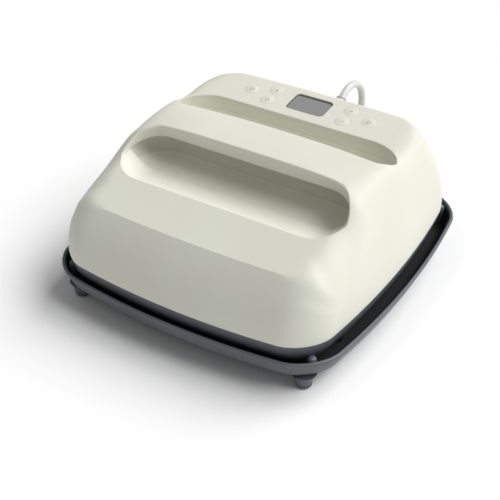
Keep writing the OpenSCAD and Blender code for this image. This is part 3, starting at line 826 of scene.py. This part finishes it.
def rear_slot():
    """Points round the rear slot, and the way out from it at each, clockwise seen from above."""
    half = arc_points(slot_r, 90, 40, 10, (79, slot_rear_y - slot_r))
    half += arc_points(slot_end_r, 20, -84, 13, (100, 32))
    half += [(x, handle_rear[0] - 4.75 * (x / 100) ** 2) for x in range(94, -1, -6)][:-1]
    back = [(x, slot_rear_y) for x in range(-72, 79, 8)]
    line = back + half + [(0, handle_rear[0])] + [(-x, y) for x, y in reversed(half)]
    return with_ways([Vector((x, y, 0)) for x, y in line], 1)


lip_share = 0.93


def flared_cutter(bm, outline, place, depth, lip, above=24, end_lip=0.0):
    """A cutter whose sides turn outwards where they meet the top, so that the cut has a rounded lip."""
    up = (place.to_3x3() @ Vector((0, 0, 1))).normalized()
    steps = 9
    rings = [[] for _ in range(steps + 3)]
    for flat, outward in outline:
        foot = place @ flat
        out = (place.to_3x3() @ outward).normalized()
        size = lip + end_lip * abs(outward.x)
        edge = foot + up * just_below(lambda h: foot + up * h, -30.0, 60.0, 30)
        slope = Vector((
            top_height(edge.x - 0.5, edge.y) - top_height(edge.x + 0.5, edge.y),
            top_height(edge.x, edge.y - 0.5) - top_height(edge.x, edge.y + 0.5), 1)).normalized()
        along = (out - slope * out.dot(slope)).normalized()
        turn = up.angle(along)
        across = (along - up * along.dot(up)).normalized()
        begin = edge - up * size * tan(turn / 2)
        centre = begin + across * size
        rings[0].append(foot - up * depth)
        for k in range(steps + 1):
            a = lip_share * turn * k / steps
            rings[k + 1].append(centre + (up * sin(a) - across * cos(a)) * size)
        rings[steps + 2].append(rings[steps + 1][-1] + up * above)
    drawn_rings(bm, rings)


def straight_cutter(bm, outline, place, low, high, grow):
    """A cutter with straight sides, a little larger than an outline."""
    drawn_rings(bm, [
        [place @ (flat + outward * grow + Vector((0, 0, z))) for flat, outward in outline]
        for z in (low, high)])


slot_place = Matrix.Translation((0, 0, 118))
for outline, place, low, high in (
        (stadium(mouth_half_l, mouth_half_w, 16, 8), strip_place, -3, 60),
        (rear_slot(), slot_place, 0, 70)):
    collar = bmesh.new()
    straight_cutter(collar, outline, place, low, high, wall)
    hollow = cut(hollow, workpiece(collar, "collar"))
housing = cut(housing, hollow)

panel_place = Matrix.Translation(panel_origin) @ Matrix.Rotation(panel_tilt, 4, "X")
display_centre = (0, 11)
display_half = (20.2, 13.6)
key_centres = {
    "power": (-63.5, 10.4), "temperature": (-40.3, 19.4), "timer": (-40.5, 0.9),
    "plus": (40.3, 19.4), "minus": (40.5, 0.9), "start": (63.5, 10.4)}
key_d = 15
key_gap = 0.07
relief_hole_r = 8.1


def round_outline(centre, radius, count=40):
    """A circle of points and the ways out from it."""
    ways = [Vector((cos(2 * pi * i / count), sin(2 * pi * i / count), 0)) for i in range(count)]
    return [(Vector((centre[0], centre[1], 0)) + way * radius, way) for way in ways]


def box_outline(centre, half_x, half_y, r):
    """A rounded rectangle of points and the ways out from it."""
    middle = Vector((*centre, 0))
    return with_ways([point + middle for point in rounded_ring(half_x, half_y, r, 0, 6, 4)], -1)


knives = bmesh.new()
flared_cutter(knives, stadium(mouth_half_l, mouth_half_w), strip_place, 4, 1.3, end_lip=2.2)
flared_cutter(knives, rear_slot(), slot_place, 16, 1.4)
flared_cutter(knives, box_outline(display_centre, *display_half, 5), panel_place, 6, 0.3, 6)
for centre in key_centres.values():
    flared_cutter(knives, round_outline(centre, key_d / 2 + key_gap), panel_place, 6, 0.08, 6)
bmesh.ops.create_cone(
    knives, cap_ends=True, segments=48, radius1=relief_hole_r, radius2=relief_hole_r, depth=24,
    matrix=Matrix.Translation(cord_exit + exit_way * 4) @ turned_to(exit_way))
housing = cut(housing, workpiece(knives, "knives"))


# ABS in a warm off-white, moulded against fine spark-eroded steel: satin, with an even shine.
cream_abs = moulded_plastic("moulded_cream_abs", ("dbdbce", "dedfd2"), 0.56, 1.2, 0.010)
housing = refinished(housing, cream_abs, "press", ("upper_housing",), 14)


# ---------- Finger hollow ----------
# The front scoop and the insert under the grip are two ABS mouldings, hung under the housing's skin.
# Together they make a smooth hollow: a floor that falls towards the grip, and a back wall that curls
# forward under it. The scoop is painted lighter than the housing, as painted light on the floor that
# the grip shades, and the insert under the grip is painted darker, as painted shade.

floor_line = [
    (0, -20.9), (6, -17.9), (11.5, -15.0), (16.5, -11.8), (20.8, -8.8), (24.3, -6.1), (26.9, -4.3),
    (28.3, -3.5), (28.9, -3.05)]
end_line = [
    (0, -20.9), (6, -20.3), (11.5, -18.6), (16.5, -15.6), (20.8, -12.0), (24.3, -8.4), (26.9, -5.4),
    (28.3, -3.8), (28.9, -3.05)]
back_line = [
    (0, -20.9), (9, -24.6), (18, -27.2), (27, -29.4), (34.8, -29.9), (39.0, -26.6), (39.2, -20),
    (35.8, -11), (30.4, -3.05)]
line_pieces = 4
seam_station = 4 * line_pieces
straight_half = mouth_half_l - mouth_half_w
hollow_arc = 26
hollow_side = 28
insert_from = 96
insert_thickness = 2


def hollow_columns():
    """Each column's start, side and turn: 0 faces the front, 90 an end and 180 the grip."""
    columns = []
    turns = [180 * i / hollow_arc for i in range(hollow_arc + 1)]
    for side, turn in ((1, 180), (-1, 0)):
        columns += [(side * straight_half, side, way) for way in turns[::side]]
        columns += [
            (side * mix(straight_half, -straight_half, i / hollow_side), 1, turn)
            for i in range(1, hollow_side)]
    return columns


lines = [
    smooth_line([(*point, 0) for point in line], line_pieces)
    for line in (floor_line, end_line, back_line)]


def hollow_point(column, station):
    """A point of the hollow's surface, in the strip's frame."""
    x, side, turn = column
    to_front = cos(radians(turn))
    shares = (max(0.0, to_front), 1 - abs(to_front), max(0.0, -to_front))
    out, depth, _ = sum((line[station] * share for line, share in zip(lines, shares)), Vector((0, 0, 0)))
    return strip_place @ Vector((x + side * out * sin(radians(turn)), -out * to_front, depth))


columns = hollow_columns()
last_station = len(lines[0]) - 1
dish = bmesh.new()
dish_stations = range(last_station, -1, -1)
drawn_rings(
    dish, [[hollow_point(column, station) for column in columns] for station in dish_stations],
    closed=False)
column_of = dish.verts.layers.int["number"]
under_grip = {i for i, column in enumerate(columns) if column[2] > insert_from}


def past_seam(point):
    """Whether a point of the dish lies on the seam or farther from the floor's middle than it."""
    seam, middle = (hollow_point(columns[point[column_of]], station) for station in (seam_station, 0))
    return (point.co - seam).length < 1e-4 or (point.co - middle).length > (seam - middle).length


insert_faces = [
    face for face in dish.faces
    if all(point[column_of] in under_grip and past_seam(point) for point in face.verts)]
bmesh.ops.recalc_face_normals(dish, faces=dish.faces)
if sum(face.normal.z for face in dish.faces) < 0:
    bmesh.ops.reverse_faces(dish, faces=dish.faces)
insert_mesh = dish.copy()
insert_indices = {face.index for face in insert_faces}
bmesh.ops.delete(dish, geom=insert_faces, context="FACES")
insert_mesh.faces.ensure_lookup_table()
dish_faces = [face for face in insert_mesh.faces if face.index not in insert_indices]
bmesh.ops.delete(insert_mesh, geom=dish_faces, context="FACES")
for bm in (dish, insert_mesh):
    bmesh.ops.remove_doubles(bm, verts=bm.verts, dist=0.01)
    bmesh.ops.dissolve_degenerate(bm, dist=0.01, edges=bm.edges)
    bmesh.ops.solidify(bm, geom=bm.faces[:], thickness=insert_thickness)

# The inserts are moulded in the same ABS, with a slightly coarser grain. The scoop's lighter tone is
# painted light where the grip shades it; the grip insert's darker tone is painted shade under the grip.
scoop_abs_painted_light = moulded_plastic("scoop_abs_lightened_painted_light", ("e3e3d7", "e7e7da"), 0.55, 1.2, 0.012)
grip_abs_painted_shade = moulded_plastic("grip_abs_darkened_painted_shade", ("d0d0c4", "d4d4c8"), 0.55, 1.2, 0.012)
for bm, name, finish, node in (
        (dish, "finger_scoop", scoop_abs_painted_light, "front_scoop"),
        (insert_mesh, "grip_underside", grip_abs_painted_shade, "grip_insert")):
    finished(bm, name, finish, "press", (node,), 40, turn_out=False)

# ---------- Rear well ----------
# The cup behind the grip: a moulding in the scoop's ABS that closes the rear slot from below, with a
# rounded corner all round its floor. It takes the scoop's lighter tone, which is painted light.

well_stages = [
    (-5, 104), (0.5, 104.4), (2, 106), (2, 117.8), (0, 117.8), (0, 113), (-0.3, 110.2), (-1.2, 108.1),
    (-2.6, 106.8), (-4.4, 106.15), (-7, 106)]
well_mesh = bmesh.new()
drawn_rings(well_mesh, [
    [flat + outward * grow + Vector((0, 0, z)) for flat, outward in rear_slot()]
    for grow, z in well_stages])
finished(well_mesh, "grip_rear_well", scoop_abs_painted_light, "press", ("rear_well",), 50)

# ---------- Display ----------
# A clear acrylic pane over a grey liquid crystal panel that is off. The dark band round the pane's
# edge is painted shade, where the walls of the recess shade the pane.

pane_depth = 1.7
pane_thickness = 0.9
pane_border = 1.2
pane_margin = 1.4
pane_corner = 6


def clear_pane(name, code, roughness):
    """Polished clear material over a flat colour: glossy, with a hard clear top layer."""
    material, place = new_material(name)
    haze = add_node(material, "TexNoise", {"Vector": place, "Scale": 1 / (12 * MM), "Detail": 3.0})
    shine = add_node(
        material, "MapRange",
        {"Value": haze.outputs["Fac"], "To Min": roughness, "To Max": roughness + 0.08})
    return surfaced(material, add_node(
        material, "BsdfPrincipled",
        {"Base Color": linear(code), "Roughness": shine.outputs["Result"], "IOR": 1.49,
         "Coat Weight": 0.6, "Coat Roughness": 0.05}))


pane_mesh = bmesh.new()
half_x, half_y = (half + pane_margin for half in display_half)
drawn_rings(pane_mesh, [
    rounded_ring(half_x, half_y, pane_corner, z) for z in (-pane_depth - pane_thickness, -pane_depth)])
top_face = max(pane_mesh.faces, key=lambda face: face.calc_center_median().z)
inset = bmesh.ops.inset_region(pane_mesh, faces=[top_face], thickness=pane_margin + pane_border, depth=0)
for face in inset["faces"]:
    face.material_index = 1
display_place = panel_place @ Matrix.Translation((*display_centre, 0))
pane = finished(
    pane_mesh, "display_pane", clear_pane("acrylic_over_lcd", "8e8e8e", 0.18), "press",
    ("display_window",), place=display_place)
# The pane's dark rim is painted shade at the edge of the recess.
pane.data.materials.append(clear_pane("acrylic_with_painted_shade_border", "2a2a2a", 0.18))

# ---------- Keys ----------
# Six round keys in the housing's own cream ABS, a hair proud of the panel, each on its own switch.
# Each has a small printed mark in grey ink.

key_proud = 0.03
key_stem = 3.9
ink_lift = 0.02
ink_thickness = 0.03
stroke = 0.55


def stroke_line(bm, points, width, height):
    """A printed line: a short edge drawn along points, a hair thick."""
    points = [Vector((x, y, height)) for x, y in points]
    edges = None
    for i, point in enumerate(points):
        before, after = points[max(0, i - 1)], points[min(len(points) - 1, i + 1)]
        way = (after - before).normalized()
        side = Vector((-way.y, way.x, 0)) * width / 2
        if edges is None:
            ends = [bm.verts.new(point + side), bm.verts.new(point - side)]
            edges = [bm.edges.new(ends)]
        else:
            fresh, edges = drawn_on(bm, edges)
            for vert in fresh:
                near = (vert.co - last_point).dot(last_side) > 0
                vert.co = point + (side if near else -side)
        last_point, last_side = point, side


key_marks = {
    "power": [(arc_points(1.9, 125, 415), stroke), ([(0, 0.5), (0, 2.6)], stroke)],
    "temperature": [
        (arc_points(0.95, 60, 480, 14, (0, -1.5)), stroke), ([(0, -0.7), (0, 2.3)], stroke)],
    "timer": [(arc_points(2.0, 0, 360), stroke), ([(0, 1.2), (0, 0), (0.9, -0.5)], 0.45)],
    "plus": [([(-1.8, 0), (1.8, 0)], stroke), ([(0, -1.8), (0, 1.8)], stroke)],
    "minus": [([(-1.8, 0), (1.8, 0)], stroke)],
    "start": [([(-1.7, -2.5), (-1.7, 2.5), (2.7, 0), (-1.7, -2.5)], 0.7)]}
ink_tones = {"power": "4a4a46", "start": "363633"}


cap_profile = [
    (0, -key_stem), (2.5, -key_stem), (2.5, -2.4), (7.5, -2.4), (7.5, -0.1), (7.48, 0),
    (7.42, key_proud), (0, key_proud)]
for key, centre in key_centres.items():
    key_place = panel_place @ Matrix.Translation((*centre, 0))
    cap = bmesh.new()
    spun(cap, cap_profile, 48)
    finished(
        cap, key + "_cap", cream_abs, key + "_button", (key + "_key",),
        place=key_place)
    mark = bmesh.new()
    for points, width in key_marks[key]:
        stroke_line(mark, points, width, key_proud + ink_lift)
    bmesh.ops.solidify(mark, geom=mark.faces[:], thickness=ink_thickness)
    # Pad-printed ink is matt, and very slightly uneven where the pad lifted.
    ink = textured(
        key + "_ink", "TexNoise", {"Scale": 1 / (0.5 * MM), "Detail": 2.0},
        ((0.3, ink_tones.get(key, "9c9c92")), (0.75, "a0a09a")), {"Roughness": 0.6})
    finished(mark, key + "_mark", ink, key + "_button", place=key_place)

# ---------- Inner parts ----------
# The plate, boards, wires and screws under the covers, clipped and screwed to the housing. Each keeps
# its designed shape and takes the finish of what it is made of.


def worked_metal(name, code, roughness, scratch_mm=(0.6, 30, 30)):
    """Bare metal with fine lines from rolling or turning, which spread its reflections one way."""
    material, place = new_material(name)
    stretched = add_node(
        material, "Mapping", {"Vector": place, "Scale": [1 / (mm * MM) for mm in scratch_mm]})
    rolling = add_node(
        material, "TexNoise", {"Vector": stretched.outputs["Vector"], "Scale": 1.0, "Detail": 4.0})
    shine = add_node(
        material, "MapRange",
        {"Value": rolling.outputs["Fac"], "To Min": roughness - 0.08, "To Max": roughness + 0.12})
    bump = add_node(
        material, "Bump",
        {"Height": rolling.outputs["Fac"], "Strength": 0.6, "Distance": 0.01 * MM})
    return surfaced(material, add_node(
        material, "BsdfPrincipled",
        {"Base Color": linear(code), "Metallic": 1.0, "Roughness": shine.outputs["Result"],
         "Normal": bump.outputs["Normal"]}))


def fibrous(name, dark, light, fibre_mm, depth_mm):
    """Pressed, needled or woven fibre: a matted surface of short threads, quite matt."""
    return textured(
        name, "TexNoise",
        {"Scale": 1 / (fibre_mm * MM), "Detail": 6.0, "Roughness": 0.75, "Distortion": 1.5},
        ((0.3, dark), (0.7, light)), {"Roughness": 0.9, "Sheen Weight": 0.15}, depth_mm * MM)


def circuit_board():
    """Glass epoxy board under green solder resist, with a grid of copper tracks showing through."""
    material, place = new_material("green_circuit_board")
    tracks = add_node(
        material, "TexBrick",
        {"Vector": place, "Color1": linear("1f5a35"), "Color2": linear("24633b"),
         "Mortar": linear("3b7f4c"), "Scale": 1 / (9 * MM), "Mortar Size": 0.03, "Brick Width": 0.9,
         "Row Height": 0.35})
    bump = add_node(
        material, "Bump", {"Height": tracks.outputs["Fac"], "Strength": 0.5, "Distance": 0.04 * MM})
    return surfaced(material, add_node(
        material, "BsdfPrincipled",
        {"Base Color": tracks.outputs["Color"], "Roughness": 0.3, "Normal": bump.outputs["Normal"]}))


# Cast aluminium with a black non-stick coating, sprayed and baked: half matt, with a fine speckle.
plate_coating = textured(
    "ceramic_coated_aluminium", "TexVoronoi", {"Scale": 1 / (1.4 * MM)},
    ((0.05, "4a4a4c"), (0.25, "262628")), {"Roughness": 0.35, "Metallic": 0.2}, 0.02 * MM, 0.4)

inner_finishes = {
    # The liner mat's near-black tones are painted shade: they darken the tray's floor, which lies in
    # shadow under the press.
    "liner_board": fibrous("glass_fibre_mat_painted_shade", "131314", "232325", 0.9, 0.2),
    "pad_silicone": moulded_plastic("black_silicone_rubber", ("2b2c2f", "323337"), 0.6),
    "plate_coating": plate_coating,
    "element_steel": worked_metal("drawn_stainless_steel", "a8a6a2", 0.35, (0.6, 0.6, 20)),
    "mineral_wool": fibrous("mineral_wool_blanket", "d3cdbd", "efebe0", 1.6, 0.5),
    "shield_aluminium": worked_metal("rolled_aluminium_sheet", "c9cbce", 0.32),
    "phenolic": moulded_plastic("moulded_phenolic", ("d2c49e", "dccfac"), 0.5),
    "brass": worked_metal("nickel_brass", "cdb169", 0.25, (0.5, 20, 20)),
    "ceramic": moulded_plastic("fired_steatite_ceramic", ("d6d2c6", "e0dcd1"), 0.55),
    "window_plastic": clear_pane("grey_display_glass", "5a615e", 0.2),
    "black_plastic": moulded_plastic("black_moulded_plastic", ("26272a", "2e2f33"), 0.42),
    "circuit_board": circuit_board(),
    "blue_plastic": moulded_plastic("blue_relay_case", ("27509a", "2c58a6"), 0.3),
    "green_plastic": moulded_plastic("green_terminal_plastic", ("3a7849", "43824f"), 0.4),
    "winding": fibrous("yellow_winding_tape", "b5922f", "cfae47", 2.0, 0.05),
    "glass_tube": clear_pane("fuse_glass", "d5dade", 0.08),
    "red_wire": fibrous("red_glass_braid", "9a3322", "c04a34", 0.7, 0.1),
    "grey_wire": moulded_plastic("grey_wire_sleeve", ("b9bdc1", "c4c8cc"), 0.4),
    "green_wire": moulded_plastic("green_wire_sleeve", ("478f39", "53a044"), 0.4),
    "screw_steel": worked_metal("zinc_plated_steel", "a6a8ac", 0.3, (0.4, 8, 8)),
    "cord_pvc": relief_pvc}
for part in frame["record"]["subparts"]:
    if part["material_slot"] in inner_finishes:
        node = frame["nodes"][part["node"]]
        node.data.materials.clear()
        node.data.materials.append(inner_finishes[part["material_slot"]])
